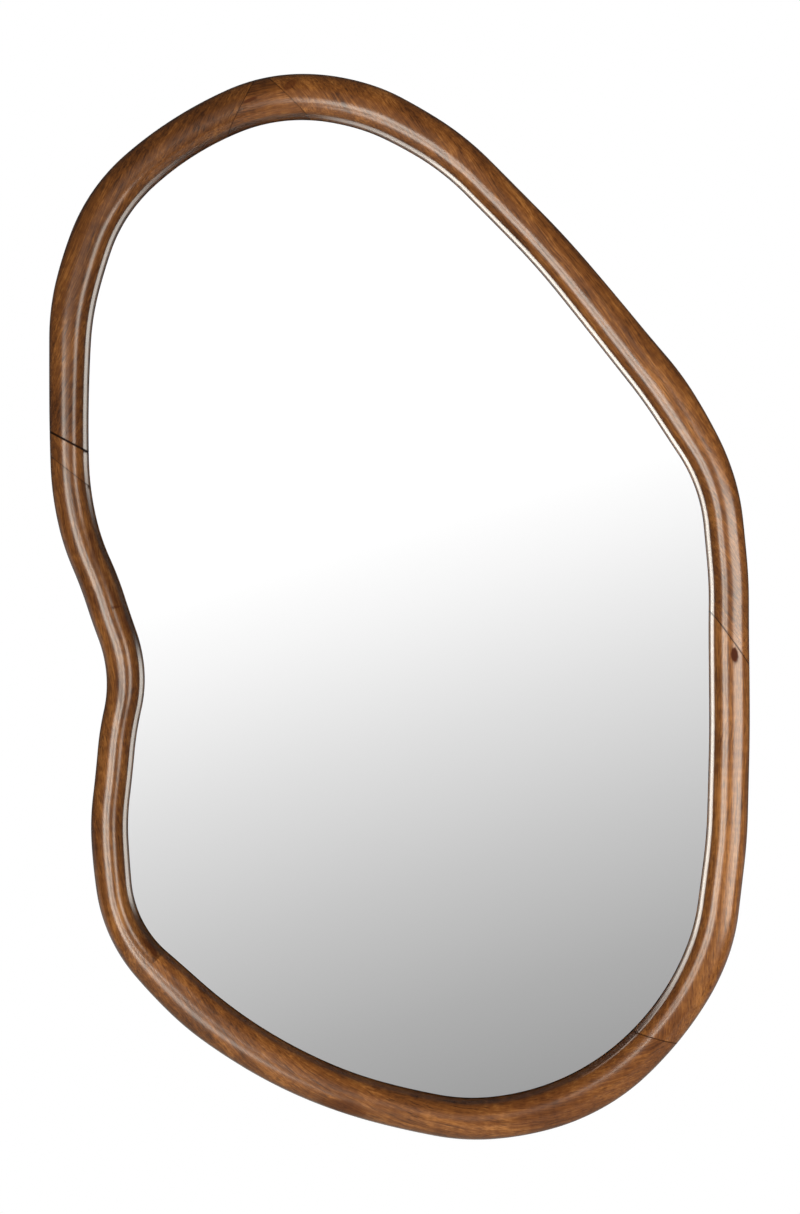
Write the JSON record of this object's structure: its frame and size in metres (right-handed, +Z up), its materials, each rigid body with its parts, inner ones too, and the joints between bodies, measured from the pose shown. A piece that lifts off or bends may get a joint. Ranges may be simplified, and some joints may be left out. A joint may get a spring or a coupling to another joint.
{
  "type": "wall mirror",
  "caption": "Free-form wall mirror: a jointed rounded wooden ring round a mirror glass, with a screwed back board and hinged D-ring hangers.",
  "frame": {"origin": "on the wall plane, midway between the two hooks that carry the D-rings and level with them", "axes": "+Z up, +Y towards the wall, so the mirror faces -Y; +X to the right seen from the front"},
  "size_m": [0.6996, 0.037, 1.0641],
  "materials": {
    "frame_wood": "satin varnish",
    "dowel_wood": "raw",
    "glass": "polished",
    "silvering": "mirror",
    "foam": "matte",
    "board": "raw fibreboard",
    "screw_steel": "zinc plated",
    "hanger_steel": "nickel plated",
    "rubber": "matte"
  },
  "bodies": {
    "mirror": {"frame_upper_right": "frame_wood", "frame_lower_right": "frame_wood", "frame_bottom": "frame_wood", "frame_lower_left": "frame_wood", "frame_left_splice": "frame_wood", "frame_upper_left": "frame_wood", "dowels_top": "dowel_wood", "dowels_right": "dowel_wood", "dowels_lower_right": "dowel_wood", "dowels_lower_left": "dowel_wood", "dowels_left_lower": "dowel_wood", "dowels_left_upper": "dowel_wood", "mirror_glass": "glass", "mirror_silvering": "silvering", "foam_liner": "foam", "back_board": "board", "back_board_screws": "screw_steel", "hanger_screws_left": "screw_steel", "hanger_screws_right": "screw_steel", "hanger_strap_left": "hanger_steel", "hanger_strap_right": "hanger_steel", "wall_bumper_top_left": "rubber", "wall_bumper_top_right": "rubber", "wall_bumper_bottom_right": "rubber", "wall_bumper_bottom_left": "rubber", "frame_top_splice": "frame_wood", "dowels_top_left": "dowel_wood"},
    "left_ring": {"hanger_ring_left": "hanger_steel"},
    "right_ring": {"hanger_ring_right": "hanger_steel"}
  },
  "joints": [
    {"name": "left_ring_hinge", "type": "hinge", "parent": "mirror", "child": "left_ring", "pos_m": [-0.29614, -0.0027, -0.014], "axis": [-1, 0, 0], "range_deg": [0, 176]},
    {"name": "right_ring_hinge", "type": "hinge", "parent": "mirror", "child": "right_ring", "pos_m": [0.29849, -0.0027, -0.01324], "axis": [-0.809, 0, -0.5878], "range_deg": [0, 176]}
  ]
}
